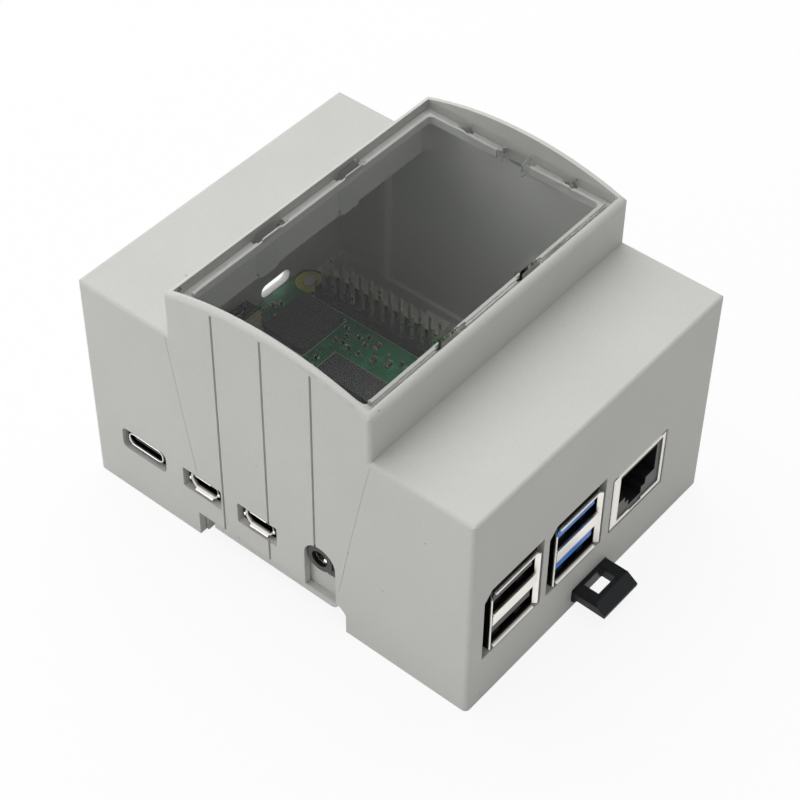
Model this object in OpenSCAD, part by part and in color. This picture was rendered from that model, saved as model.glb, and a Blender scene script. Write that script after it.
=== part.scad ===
// DIN rail enclosure, four modules wide, with a single-board computer inside.
// X runs across the rail, Y along it, Z away from it.
// The origin is the centre of the face that sits on the rail.

/* [Case] */
// Length of the case across the rail
case_len = 90; // [89.6:0.2:96]
// Width of the case along the rail
case_w = 71; // [69:0.5:78]
// Height of the two shoulders above the feet
shoulder_h = 49; // [46:0.5:52]
// Height of the crown of the nose above the feet
crown_h = 62.8; // [60:0.2:68]
// Radius of the crown of the nose
crown_r = 72; // [60:1:110]
// Width of the nose across the rail
nose_w = 46.2; // [44:0.2:50]
// Thickness of the outer walls
wall_t = 1.5; // [1.2:0.1:1.6]
// Thickness of the shoulder tops
roof_t = 1.5; // [1.2:0.1:2.5]
// Rounding of the upright corners
corner_r = 1; // [0.4:0.1:1.4]
// Rounding of the shoulder's top edges
shoulder_r = 0.8; // [0.3:0.1:1.2]
// Rounding between the crown and the nose's sides
nose_r = 1.5; // [0.8:0.1:2]
// Rounding of the crown's end edges
crown_edge_r = 0.9; // [0.3:0.1:1]
// Distance of the inner ribs from the end faces
wall_rib_off = 14; // [10:0.5:20]
// Thickness of the inner ribs
wall_rib_t = 1.4; // [1:0.1:2]
// Depth of the inner ribs
wall_rib_d = 2; // [1:0.1:3]
// Size of the gussets in the nose's corners
gusset = 1.6; // [1:0.1:1.8]
// Width of the score lines on the near face
score_w = 0.45; // [0.2:0.05:0.6]
// Depth of the score lines
score_d = 0.45; // [0.1:0.05:0.6]
// Distance between the score lines
score_pitch = 11.05; // [10:0.05:12]
// Length of the vent slot in the left end wall
vent_l = 8.4; // [5:0.2:12]
// Height of the vent slot
vent_h = 3.1; // [2:0.1:4]

/* [Window lid] */
// Thickness of the rim round the lid
rim_t = 1.4; // [1.2:0.1:1.8]
// Thickness of the lid
lid_t = 1.5; // [1.2:0.1:2]
// Gap between the lid and the rim
lid_gap = 0.15; // [0.1:0.01:0.3]
// Width of the ledge under the lid
ledge_w = 2.3; // [2:0.1:3]
// Thickness of the ledge
ledge_t = 1.8; // [1.5:0.1:2.4]
// Width of the trench along the outside of the ledge
trench_w = 1.6; // [1.5:0.05:1.7]
// Depth of the trench
trench_d = 0.9; // [0.7:0.05:1.1]
// Radius of the lid's hinge pins
hinge_pin_r = 0.6; // [0.5:0.05:0.75]
// Radial clearance of the hinge pins
hinge_play = 0.05; // [0.03:0.01:0.1]
// Length of a hinge pin outside the lid
hinge_pin_l = 0.95; // [0.6:0.05:1.05]
// Radius of the round bead along the hinge edge
bead_r = 1.1; // [1:0.05:1.2]
// Distance from the lid's edge to its guide tongues
tongue_inset = 0.7; // [0.5:0.05:0.8]
// Thickness of the guide tongues
tongue_t = 0.6; // [0.4:0.05:0.7]
// Width of the guide tongues on the long sides
tongue_w = 5; // [3:0.1:6]
// Reach of those tongues below the lid
tongue_reach = 9.2; // [4:0.1:9.4]
// Distance from the hinge to the first pair of tongues
tongue_first = 20.55; // [16:0.05:24]
// Distance between the first and second pairs of tongues
tongue_pitch = 22.05; // [16:0.05:26]
// Width of the two tongues beside the latch
end_tongue_w = 2.05; // [1.5:0.05:3]
// Reach of the tongues beside the latch
end_tongue_reach = 2.1; // [1:0.1:3]
// Distance from the middle to those tongues
end_tongue_off = 11.9; // [8:0.1:14]
// Width of the window cut beside each tongue
peep_w = 1.2; // [0.8:0.05:1.4]
// Width of the latch loop
latch_w = 5.7; // [4.5:0.1:7]
// Thickness of the latch loop
latch_t = 0.8; // [0.6:0.05:1]
// Reach of the latch loop below the lid
latch_reach = 3.8; // [3:0.1:5]
// Width of the latch loop's band
latch_band = 1.15; // [0.9:0.05:1.5]

/* [Rail mounting] */
// Height of the rail seat above the feet
seat_h = 4.2; // [4:0.1:5]
// Thickness of the base plate
plate_t = 1.8; // [1.5:0.1:2.2]
// Width of the rail that the base fits
rail_w = 35; // [34.8:0.1:35.2]
// Thickness of the rail's brim
brim_t = 1; // [0.9:0.05:1.1]
// Clearance between the rail and the channel at each side
rail_play = 0.2; // [0.1:0.05:0.4]
// Clearance under the rail's brim
brim_play = 0.15; // [0.1:0.05:0.3]
// Width of the deep groove that lets the rail tilt in
tilt_w = 3.2; // [2.5:0.1:4]
// Depth of that groove beyond the rail seat
tilt_d = 1.7; // [1.2:0.1:2]
// Reach of the fixed hooks under the brim
hook_reach = 1.6; // [1:0.1:2.4]
// Thickness of the fixed hooks
hook_t = 1.2; // [1:0.1:1.6]
// Width of each fixed hook along the rail
hook_w = 18; // [10:0.5:24]
// Distance of the fixed hooks from the middle
hook_off = 18.5; // [14:0.5:22]
// Thickness of the base's ribs and foot walls
rib_t = 1.4; // [1.2:0.1:2]
// Clearance between the base and the cover
base_gap = 0.15; // [0.1:0.05:0.3]
// Height of the base's upright rim above its plate
curb_h = 3.2; // [2.6:0.1:3.6]
// Thickness of that rim
curb_t = 1.05; // [0.8:0.05:1.1]
// Distance of the foot's inner ribs from one another
foot_rib_pitch = 8; // [6:0.5:8.5]
// Extra height inside the hollow feet
foot_relief = 0.2; // [0.1:0.05:0.4]
// Depth of the snap catches that hold the base
catch_d = 0.6; // [0.4:0.05:0.7]
// Distance of the snap catches from the case's side faces
catch_off = 16; // [12:0.5:20]
// Width of the snap catches
catch_w = 8; // [5:0.5:10]

/* [Rail clip] */
// Width of the clip
clip_w = 10.2; // [9:0.1:12]
// Sideways clearance of the clip in its guides
clip_play = 0.2; // [0.15:0.05:0.4]
// Offset of the clip from the middle of the case
clip_off = 0.2; // [-1:0.1:1]
// Bottom of the clip above the feet
clip_z = 1.75; // [1.6:0.05:1.9]
// Thickness of the clip's tab
tab_t = 3; // [2.6:0.1:3.2]
// Reach of the tab beyond the case
tab_reach = 7.3; // [6:0.1:10]
// Length of the tab's sloping lip
tab_lip = 2.3; // [1.5:0.1:3]
// Thickness of the lip's end
lip_t = 0.6; // [0.5:0.05:1]
// Length of the tool slot through the tab
tool_slot_l = 5.2; // [4:0.1:6]
// Width of the tool slot
tool_slot_w = 3.2; // [2.4:0.1:3.4]
// Reach of the clip's tooth under the brim
tooth_reach = 1.5; // [1:0.1:2]
// How far the clip pulls out
clip_travel = 3.5; // [2.5:0.1:4]
// Width of the spring arms
arm_t = 0.8; // [0.6:0.05:1]

/* [Circuit board] */
// Length of the board
board_l = 85; // [85:0.1:85.2]
// Width of the board
board_w = 56; // [55:0.5:57]
// Thickness of the board
board_t = 1.6; // [1.2:0.1:1.8]
// Radius of the board's corners
board_r = 3; // [2:0.5:3]
// Gap from the end wall to the board
board_gap = 0.17; // [0.1:0.01:0.3]
// Gap from the near wall to the board
board_inset = 1.37; // [1.2:0.01:1.6]
// Height of the board's underside above the base plate
board_lift = 4.4; // [4:0.1:5]
// Distance of the fixing holes from the board's edges
hole_edge = 3.5; // [3.4:0.1:4]
// Spacing of the fixing holes along the board
hole_pitch = 58; // [56:0.5:60]
// Radius of the fixing holes
hole_r = 1.35; // [1.2:0.05:1.6]
// Clearance of the pegs in the fixing holes
peg_play = 0.1; // [0.05:0.01:0.15]
// Radius of the posts under the board
post_r = 3; // [2.4:0.1:3.2]

/* [Sockets] */
// Vent slot in the end wall, from the board's near edge
vent_y = 46.3; // [40:0.1:50]
// Height of the vent slot above the board
vent_lift = 0.1; // [0:0.05:1]
// USB-C socket, from the board's end
usb_c_x = 11.28; // [10:0.05:12.5]
// First micro HDMI socket, from the board's end
hdmi_x = 26.18; // [25:0.05:27.5]
// Distance to the second micro HDMI socket
hdmi_pitch = 13.55; // [12.5:0.05:14]
// Audio socket, from the board's end
jack_x = 54.3; // [53:0.05:55.5]
// First USB socket, from the board's near edge
usb_y = 9.3; // [8.9:0.05:9.6]
// Distance to the second USB socket
usb_pitch = 18.11; // [17.6:0.02:18.6]
// Network socket, from the board's near edge
lan_y = 46.03; // [45.6:0.02:46.4]
// How far the openings for the USB sockets lie nearer than the sockets
usb_hole_off = 0.25; // [0:0.05:0.5]
// How far the USB sockets' lips stand out of the case's end face
usb_proud = 0.35; // [0:0.05:0.5]
// Width of a USB socket behind its lips
usb_w = 12.7; // [12.4:0.1:13.1]
// Width of a USB socket at its flared lips
usb_lip_w = 13.7; // [13.2:0.1:15]
// Height of a USB socket
usb_h = 15.1; // [14.9:0.1:15.6]
// Height of each of a USB socket's two openings
usb_open_h = 5.05; // [4.9:0.05:5.3]
// Bottom of the lower USB opening above the board
usb_low = 1.2; // [0.8:0.05:1.3]
// Distance from one USB opening to the next
usb_rise = 8.45; // [8.2:0.05:8.5]
// Distance of the network socket's front from the case's end face
lan_recess = 0.05; // [0.05:0.05:1.4]
// Width of the network socket
lan_w = 15.9; // [15.6:0.1:16]
// Height of the network socket
lan_h = 13.4; // [13.2:0.1:13.7]
// Depth of the network socket
lan_l = 21.2; // [20:0.2:21.6]
// Distance of the USB-C socket's front from the near face
usb_c_recess = 0.5; // [0.4:0.05:2]
// Distance of the micro HDMI sockets' fronts from the near face
hdmi_recess = 0.8; // [0.4:0.05:2]
// Distance of the audio socket's front from the near face
jack_recess = 0.45; // [0.4:0.05:1.4]
// Sheet thickness of the sockets' shells
shell_t = 0.35; // [0.25:0.05:0.45]

/* [Chips] */
// Processor, from the board's end
processor_x = 21.2; // [20:0.2:22]
// Processor, from the board's near edge
processor_y = 25; // [24:0.2:26]
// Width of the processor
processor_w = 15; // [14:0.2:16]
// Width of the processor's heat spreader
spreader_w = 13.6; // [12:0.2:14]
// Memory, from the board's end
memory_x = 39.8; // [39:0.2:40.4]
// Memory, from the board's near edge
memory_y = 25.4; // [25:0.2:27]
// Width of the memory
memory_w = 10; // [9:0.2:11]
// Length of the memory
memory_l = 14.6; // [12:0.2:15]
// Width of the two controllers by the sockets
controller_w = 7; // [5:0.5:8]
// USB controller, from the board's end
usb_chip_x = 57.4; // [55:0.2:58]
// USB controller, from the board's near edge
usb_chip_y = 25; // [23:0.2:27]
// Network controller, from the board's end
lan_chip_x = 54.4; // [52:0.2:57]
// Network controller, from the board's near edge
lan_chip_y = 35.5; // [34:0.2:36.5]
// Radio shield, from the board's end
radio_x = 5.75; // [4:0.25:6.5]
// Radio shield, from the board's near edge
radio_y = 35.8; // [34:0.2:37]
// Display cable's socket, from the board's end
display_x = 1.5; // [1:0.1:2.5]
// Display cable's socket, from the board's near edge
display_y = 13.6; // [12:0.2:15]
// Camera cable's socket, from the board's end
camera_x = 44.9; // [44:0.1:45.5]
// Camera cable's socket, from the board's near edge
camera_y = 0.6; // [0.2:0.1:1]
// Length of the flat cables' sockets
flat_l = 22.4; // [20:0.2:22.8]
// Power controller, from the board's end
power_chip_x = 7.2; // [7:0.1:8]
// Power controller, from the board's near edge
power_chip_y = 13.6; // [12:0.1:14]
// Width of the power controller
power_chip_w = 5; // [4:0.1:5.5]
// Height of the chips above the board
chip_h = 0.85; // [0.6:0.05:1.2]

/* [Hidden] */
$fn = 48;
eps = 0.01;

// nose and lid
nose_x0 = (case_len - nose_w) / 2;
nose_x1 = nose_x0 + nose_w;
crown_z0 = crown_h - crown_r;
rim_half = nose_w / 2 - rim_t;
lid_top = crown_z0 + sqrt(crown_r * crown_r - rim_half * rim_half);
ledge_z = lid_top - lid_t;
lid_x0 = nose_x0 + rim_t + lid_gap;
lid_x1 = nose_x1 - rim_t - lid_gap;
lid_y0 = rim_t + lid_gap + 0.1;
lid_y1 = case_w - rim_t - lid_gap;
hinge_y = lid_y0 + bead_r;
hinge_z = lid_top - bead_r;
latch_y = lid_y1 - 1.05 - latch_t;

// board
board_x0 = wall_t + board_gap;
board_y0 = wall_t + board_inset;
plate_z = seat_h + plate_t;
board_z = plate_z + board_lift;
board_top = board_z + board_t;
plug_r = 1.78;
barrel_r = 2.05;
barrel_l = 8;
barrel_y = jack_recess + 0.95;
usb_floor = [usb_low, usb_low + usb_rise];

// base and rail channel
channel_w = rail_w + 2 * rail_play;
channel_x0 = (case_len - channel_w) / 2 - 0.3;
channel_x1 = channel_x0 + channel_w;
base_x0 = wall_t + base_gap;
base_x1 = case_len - base_x0;
base_y0 = wall_t + base_gap;
base_y1 = case_w - base_y0;
hook_z = seat_h - brim_t - brim_play;
clip_y = case_w / 2 + clip_off;
head_x = channel_x1 + 3.4;

module placed() {
    translate([-case_len / 2, -case_w / 2, -seat_h]) children();
}

module along_x(x0, len) {
    translate([x0, 0, 0]) rotate([90, 0, 90]) linear_extrude(len) children();
}

module along_y(y0, len) {
    translate([0, y0 + len, 0]) rotate([90, 0, 0]) linear_extrude(len) children();
}

module round_rect(x0, y0, w, h, r) {
    translate([x0 + r, y0]) square([w - 2 * r, h]);
    translate([x0, y0 + r]) square([w, h - 2 * r]);
    for (x = [x0 + r, x0 + w - r], y = [y0 + r, y0 + h - r])
        translate([x, y]) circle(r);
}

// rectangle from the ground up with its two top corners rounded
module arch_rect(x0, w, h, r) {
    square_at(x0, 0, w, h - r);
    square_at(x0 + r, 0, w - 2 * r, h);
    for (x = [x0 + r, x0 + w - r]) translate([x, h - r]) circle(r);
}

module square_at(x, y, w, h) {
    translate([x, y]) square([w, h]);
}

module block(x0, x1, y0, y1, z0, z1) {
    translate([x0, y0, z0]) cube([x1 - x0, y1 - y0, z1 - z0]);
}

// ---- cover ----

// outline of the nose: straight sides, small corner rounds and the crown
module nose_outline() {
    reach = crown_r - nose_r;
    cx = nose_w / 2 - nose_r;
    cz = crown_z0 + sqrt(reach * reach - cx * cx);
    translate([case_len / 2, 0]) {
        square_at(-nose_w / 2, 0, nose_w, cz);
        for (s = [-1, 1]) translate([s * cx, cz]) circle(nose_r);
        intersection() {
            translate([0, crown_z0]) circle(crown_r, $fn = 240);
            polygon([[-cx, cz - 1], [cx, cz - 1], [cx, cz],
                [cx * 1.05, crown_z0 + (cz - crown_z0) * 1.05],
                [0, crown_h + 5],
                [-cx * 1.05, crown_z0 + (cz - crown_z0) * 1.05], [-cx, cz]]);
        }
    }
}

module shoulders() {
    intersection() {
        along_y(0, case_w) arch_rect(0, case_len, shoulder_h, shoulder_r);
        linear_extrude(shoulder_h) round_rect(0, 0, case_len, case_w, corner_r);
        along_x(0, case_len) arch_rect(0, case_w, shoulder_h, shoulder_r);
    }
}

module nose() {
    intersection() {
        along_y(0, case_w) nose_outline();
        linear_extrude(crown_h)
            round_rect(nose_x0, 0, nose_w, case_w, corner_r);
        translate([case_len / 2, 0, crown_z0]) rotate([-90, 0, 0])
            rotate_extrude($fn = 240) {
                square_at(0, 0, crown_r - crown_edge_r, case_w);
                square_at(0, crown_edge_r, crown_r, case_w - 2 * crown_edge_r);
                for (y = [crown_edge_r, case_w - crown_edge_r])
                    translate([crown_r - crown_edge_r, y]) circle(crown_edge_r);
            }
    }
}

// edge of the cover over the rail channel, seen along the rail
module channel_cut() {
    polygon([[channel_x0 - 0.5, -1], [channel_x0 - 0.5, plate_z],
        [channel_x1 - 1.6, plate_z], [channel_x1 - 0.6, plate_z - 0.7],
        [channel_x1, plate_z - 1.5], [channel_x1, -1]]);
}

module lid_recess() {
    rx0 = nose_x0 + rim_t;
    rx1 = nose_x1 - rim_t;
    ry1 = case_w - rim_t;
    block(rx0, rx1, rim_t, ry1, ledge_z, crown_h + 1);
    // trench outside the ledge's inner lip
    difference() {
        block(rx0, rx1, rim_t, ry1, ledge_z - trench_d, crown_h);
        block(rx0 + trench_w, rx1 - trench_w, hinge_y + bead_r + 0.2, ry1 - trench_w,
            ledge_z - 2, crown_h + 2);
    }
    // window
    translate([0, 0, ledge_z - ledge_t - 1]) linear_extrude(ledge_t + 4)
        round_rect(rx0 + ledge_w, rim_t + ledge_w, rx1 - rx0 - 2 * ledge_w,
            ry1 - rim_t - 2 * ledge_w, corner_r);
    // slots that the guide tongues swing through
    for (i = [0, 1]) {
        y = hinge_y + tongue_first + i * tongue_pitch - tongue_w / 2;
        swing = sqrt(pow(y + tongue_w - hinge_y, 2) + pow(tongue_reach + lid_t, 2));
        for (x = [rx0, rx1 - ledge_w + 0.35])
            block(x, x + ledge_w - 0.35, y - 0.3, hinge_y + swing + 0.25,
                ledge_z - ledge_t - 1, ledge_z + 1);
    }
    for (s = [-1, 1])
        block(case_len / 2 + s * end_tongue_off - end_tongue_w / 2 - 0.3,
            case_len / 2 + s * end_tongue_off + end_tongue_w / 2 + 0.3,
            ry1 - ledge_w + 0.35, ry1, ledge_z - ledge_t - 1, ledge_z + 1);
    // room for the latch
    block((case_len - latch_w) / 2 - 0.9, (case_len + latch_w) / 2 + 0.9,
        ry1 - ledge_w - 1, ry1, ledge_z - ledge_t - 1, ledge_z + 1);
    // short slots over the hinge edge
    for (s = [-1, 1])
        block(case_len / 2 + s * 16 - 1.9, case_len / 2 + s * 16 + 1.9,
            rim_t + 0.5, rim_t + 1.3, ledge_z - ledge_t - 1, ledge_z + 1);
    // blind holes for the hinge pins
    translate([nose_x0 + rim_t - hinge_pin_l, hinge_y, hinge_z]) rotate([0, 90, 0])
        cylinder(r = hinge_pin_r + hinge_play, h = nose_w - 2 * rim_t + 2 * hinge_pin_l);
}

module port_hole(cx, w, z0, h, r) {
    along_y(-1, wall_t + 2) round_rect(cx - w / 2, z0, w, h, r);
}

module cover_ports() {
    port_hole(board_x0 + usb_c_x + 0.15, 11.2, board_top - 1, 5.2, 1.3);
    for (i = [0, 1])
        port_hole(board_x0 + hdmi_x + i * hdmi_pitch, 9.5, board_top - 0.95, 5.1, 0.5);
    // audio opening: open at the bottom with a round top
    along_y(-1, wall_t + 2) {
        square_at(board_x0 + jack_x - 3.2, -1, 7.2, board_top + 3.9);
        translate([board_x0 + jack_x + 0.4, board_top + 2.9]) circle(3.6);
    }
    // USB and network openings
    along_x(case_len - wall_t - 1, wall_t + 2) {
        for (i = [0, 1]) {
            y0 = board_y0 + usb_y - usb_hole_off + i * usb_pitch - 8.23;
            polygon([[y0, board_top - 0.5], [y0 + 16.46, board_top - 0.5],
                [y0 + 16.46, board_top + 16.7], [y0 + 2, board_top + 16.7],
                [y0, board_top + 14.7]]);
        }
        square_at(board_y0 + lan_y - lan_w / 2 - 0.45, board_top - 0.5, lan_w + 0.9,
            lan_h + 1.05);
    }
    // vent slot in the other end wall
    along_x(-1, wall_t + 2)
        round_rect(board_y0 + vent_y - vent_l / 2, board_top + vent_lift, vent_l, vent_h,
            vent_h / 2 - eps);
    // way out for the rail clip
    block(case_len - wall_t - 1, case_len + 1, clip_y - clip_w / 2 - clip_play,
        clip_y + clip_w / 2 + clip_play, clip_z - 0.2, clip_z + tab_t + 0.2);
}

module score_lines() {
    for (i = [-1, 0, 1]) {
        x = case_len / 2 - 0.75 + i * score_pitch;
        dx = x - case_len / 2;
        top = crown_z0 + sqrt(crown_r * crown_r - dx * dx) - 1.2;
        block(x - score_w / 2, x + score_w / 2, -1, score_d, plate_z - 1, top);
    }
}

module catch_pockets() {
    for (y = [catch_off, case_w - catch_off])
        block(wall_t - catch_d - base_gap, case_len - wall_t + catch_d + base_gap,
            y - catch_w / 2 - 0.2, y + catch_w / 2 + 0.2,
            plate_z + 0.9, plate_z + 2.2);
}

// ribs on the inside of the far wall and gussets in the nose's corners
module cover_ribs() {
    for (x = [wall_rib_off, case_len - wall_rib_off])
        block(x - wall_rib_t / 2, x + wall_rib_t / 2, case_w - wall_t - wall_rib_d,
            case_w - wall_t + eps, plate_z + curb_h + 0.6, shoulder_h - roof_t + eps);
    for (x = [nose_x0 + rim_t - eps, nose_x1 - rim_t - gusset + eps],
            y = [wall_t - eps, case_w - wall_t - gusset + eps])
        block(x, x + gusset, y, y + gusset, shoulder_h - 0.5, ledge_z - ledge_t + eps);
}

module cover() {
    color([0.79, 0.79, 0.76]) placed() cover_ribs();
    color([0.79, 0.79, 0.76]) placed() difference() {
        union() {
            shoulders();
            nose();
        }
        block(wall_t, case_len - wall_t, wall_t, case_w - wall_t, -1, shoulder_h - roof_t);
        block(nose_x0 + rim_t, nose_x1 - rim_t, wall_t, case_w - wall_t,
            shoulder_h - roof_t - 1, ledge_z - ledge_t);
        lid_recess();
        cover_ports();
        score_lines();
        catch_pockets();
        along_y(-1, case_w + 2) channel_cut();
    }
}

// ---- window lid ----

module tongue(x, dir, reach) {
    // x is the tongue's outer face, dir points into the lid
    a = dir > 0 ? x : x - tongue_t;
    block(a, a + tongue_t, -0.5, 0.5, ledge_z - reach, ledge_z + 0.5);
}

module lid_plate() {
    intersection() {
        union() {
            block(lid_x0, lid_x1, hinge_y, lid_y1, ledge_z, lid_top);
            translate([lid_x0, hinge_y, hinge_z]) rotate([0, 90, 0])
                cylinder(r = bead_r, h = lid_x1 - lid_x0);
        }
        translate([0, 0, ledge_z - 3]) linear_extrude(lid_t + 6)
            round_rect(lid_x0, lid_y0 - eps, lid_x1 - lid_x0,
                lid_y1 - lid_y0 + eps, corner_r);
    }
}

module lid_openings() {
    in0 = tongue_inset + tongue_t;
    for (i = [0, 1]) {
        y = hinge_y + tongue_first + i * tongue_pitch - tongue_w / 2;
        for (x = [lid_x0 - 1, lid_x1 - tongue_inset])
            block(x, x + tongue_inset + 1, y, y + tongue_w, ledge_z - 2, lid_top + 1);
        for (x = [lid_x0 + in0, lid_x1 - in0 - peep_w])
            block(x, x + peep_w, y, y + tongue_w, ledge_z - 2, lid_top + 1);
    }
    for (s = [-1, 1]) {
        x = case_len / 2 + s * end_tongue_off - end_tongue_w / 2;
        block(x, x + end_tongue_w, lid_y1 - tongue_inset, lid_y1 + 1,
            ledge_z - 2, lid_top + 1);
        block(x, x + end_tongue_w, lid_y1 - in0 - peep_w, lid_y1 - in0,
            ledge_z - 2, lid_top + 1);
    }
    // cut-out round the latch
    block((case_len - latch_w) / 2 + 0.1, (case_len + latch_w) / 2 - 0.1,
        lid_y1 - 3.1, lid_y1 + 1, ledge_z - 2, lid_top + 1);
}

module lid_rib() {
    // low rib that stands in the trench
    z0 = ledge_z - trench_d + 0.15;
    a = lid_x0 + tongue_inset;
    b = lid_x1 - tongue_inset;
    d = lid_y1 - tongue_inset;
    for (x = [a, b - tongue_t])
        block(x, x + tongue_t, hinge_y + bead_r, d, z0, ledge_z + eps);
    for (x = [[a, (case_len - latch_w) / 2 + 0.1], [(case_len + latch_w) / 2 - 0.1, b]])
        block(x[0], x[1], d - tongue_t, d, z0, ledge_z + eps);
}

module lid_tongues() {
    a = lid_x0 + tongue_inset;
    b = lid_x1 - tongue_inset - tongue_t;
    for (i = [0, 1], x = [a, b]) {
        y = hinge_y + tongue_first + i * tongue_pitch - tongue_w / 2;
        along_x(x, tongue_t) polygon([[y, ledge_z + 0.5], [y, ledge_z - tongue_reach + 0.8],
            [y + 0.8, ledge_z - tongue_reach], [y + tongue_w, ledge_z - tongue_reach],
            [y + tongue_w, ledge_z + 0.5]]);
    }
    d = lid_y1 - tongue_inset - tongue_t;
    for (s = [-1, 1]) {
        x = case_len / 2 + s * end_tongue_off - end_tongue_w / 2;
        block(x, x + end_tongue_w, d, d + tongue_t,
            ledge_z - end_tongue_reach, ledge_z + 0.5);
    }
}

// springy loop that hangs in the cut-out, carried by a cross bar
module latch_loop() {
    x0 = (case_len - latch_w) / 2;
    z0 = ledge_z - latch_reach;
    along_y(latch_y, latch_t) difference() {
        union() {
            polygon([[x0, ledge_z + 1], [x0, z0 + 1.2], [x0 + 1.2, z0],
                [x0 + latch_w - 1.2, z0], [x0 + latch_w, z0 + 1.2],
                [x0 + latch_w, ledge_z + 1]]);
            square_at(x0 - 0.6, ledge_z, latch_w + 1.2, 1);
        }
        square_at(x0 + latch_band, z0 + latch_band, latch_w - 2 * latch_band,
            latch_reach - 2 * latch_band + 0.6);
    }
    // thumb lip
    block(case_len / 2 - 1.2, case_len / 2 + 1.2, latch_y - 0.9, latch_y + eps,
        ledge_z + 0.2, ledge_z + 1);
}

module window_lid() {
    color([0.86, 0.88, 0.88, 0.4]) placed() {
        union() {
            difference() {
                union() {
                    lid_plate();
                    lid_rib();
                }
                lid_openings();
            }
            lid_tongues();
            latch_loop();
            translate([lid_x0 - hinge_pin_l + 0.1, hinge_y, hinge_z]) rotate([0, 90, 0])
                cylinder(r = hinge_pin_r, h = hinge_pin_l + 1);
            translate([lid_x1 - 1.1, hinge_y, hinge_z]) rotate([0, 90, 0])
                cylinder(r = hinge_pin_r, h = hinge_pin_l + 1);
        }
    }
}

// ---- base ----

module foot_walls(x0, x1) {
    difference() {
        block(x0, x1, base_y0, base_y1, 0, seat_h + eps);
        block(x0 + rib_t, x1 - rib_t, base_y0 + rib_t, base_y1 - rib_t, -1, seat_h + 1);
    }
}

module clip_guides() {
    y0 = clip_y - clip_w / 2 - clip_play;
    y1 = clip_y + clip_w / 2 + clip_play;
    gx0 = channel_x1;
    for (y = [y0 - rib_t, y1])
        block(gx0, base_x1, y, y + rib_t, 0.3, seat_h + eps);
    // stops between the clip's arms and its body
    for (s = [-1, 1])
        block(head_x + 11.9, head_x + 13.2, clip_y + s * 3.95 - 1.15, clip_y + s * 3.95 + 1.15,
            0.9, seat_h + eps);
    // lips that carry the clip
    for (y = [y0 - eps, y1 - 1.3])
        block(gx0 + 6, base_x1 - 2.5, y, y + 1.3 + eps, 0.3, clip_z - 0.15);
}

module base_section() {
    // plate with the raised strip over the tilt groove
    groove_x1 = channel_x0 + tilt_w;
    square_at(base_x0, seat_h, channel_x0 - base_x0, plate_t);
    square_at(channel_x0 - rib_t, 0, rib_t, seat_h + tilt_d + eps);
    square_at(channel_x0 - rib_t, seat_h + tilt_d, tilt_w + 2 * rib_t, rib_t);
    square_at(groove_x1, seat_h, rib_t, tilt_d + rib_t);
    square_at(groove_x1, seat_h, base_x1 - groove_x1, plate_t);
}

module base_posts() {
    for (x = [0, hole_pitch], y = [hole_edge, board_w - hole_edge])
        translate([board_x0 + hole_edge + x, board_y0 + y, plate_z - eps]) {
            cylinder(r = post_r, h = board_lift + eps);
            cylinder(r = hole_r - peg_play, h = board_lift + board_t + 0.5);
        }
}

module base_curb() {
    translate([0, 0, plate_z - eps]) difference() {
        block(base_x0, base_x1, base_y0, base_y1, 0, curb_h);
        block(base_x0 + curb_t, base_x1 - curb_t, base_y0 + curb_t, base_y1 - curb_t,
            -1, curb_h + 1);
    }
    // seat wall under the audio socket
    along_y(base_y0, curb_t) difference() {
        square_at(board_x0 + jack_x - 4.4, plate_z - eps, 9.6, curb_h + 1.4);
        translate([board_x0 + jack_x + 0.4, board_top + 2.3]) circle(3.6);
    }
    // catches in the cover's end walls
    for (y = [catch_off, case_w - catch_off]) {
        along_y(y - catch_w / 2, catch_w) {
            polygon([[base_x0 + 0.2, plate_z + 1], [base_x0 - catch_d, plate_z + 2],
                [base_x0 + 0.2, plate_z + 2]]);
            polygon([[base_x1 - 0.2, plate_z + 1], [base_x1 + catch_d, plate_z + 2],
                [base_x1 - 0.2, plate_z + 2]]);
        }
    }
}

// strips of the base that show under the cover's side walls
module base_flanges() {
    x0 = channel_x0 + tilt_w;
    x1 = channel_x1 - 2.1;
    r = plate_t - base_gap;
    for (y = [0.25, base_y1 - 0.3])
        along_y(y, base_y0 + 0.05) {
            square_at(x0, seat_h, x1 - r - x0, r);
            intersection() {
                translate([x1 - r, seat_h + r]) circle(r);
                square_at(x1 - r - 0.1, seat_h, r + 0.1, r);
            }
        }
}

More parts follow.
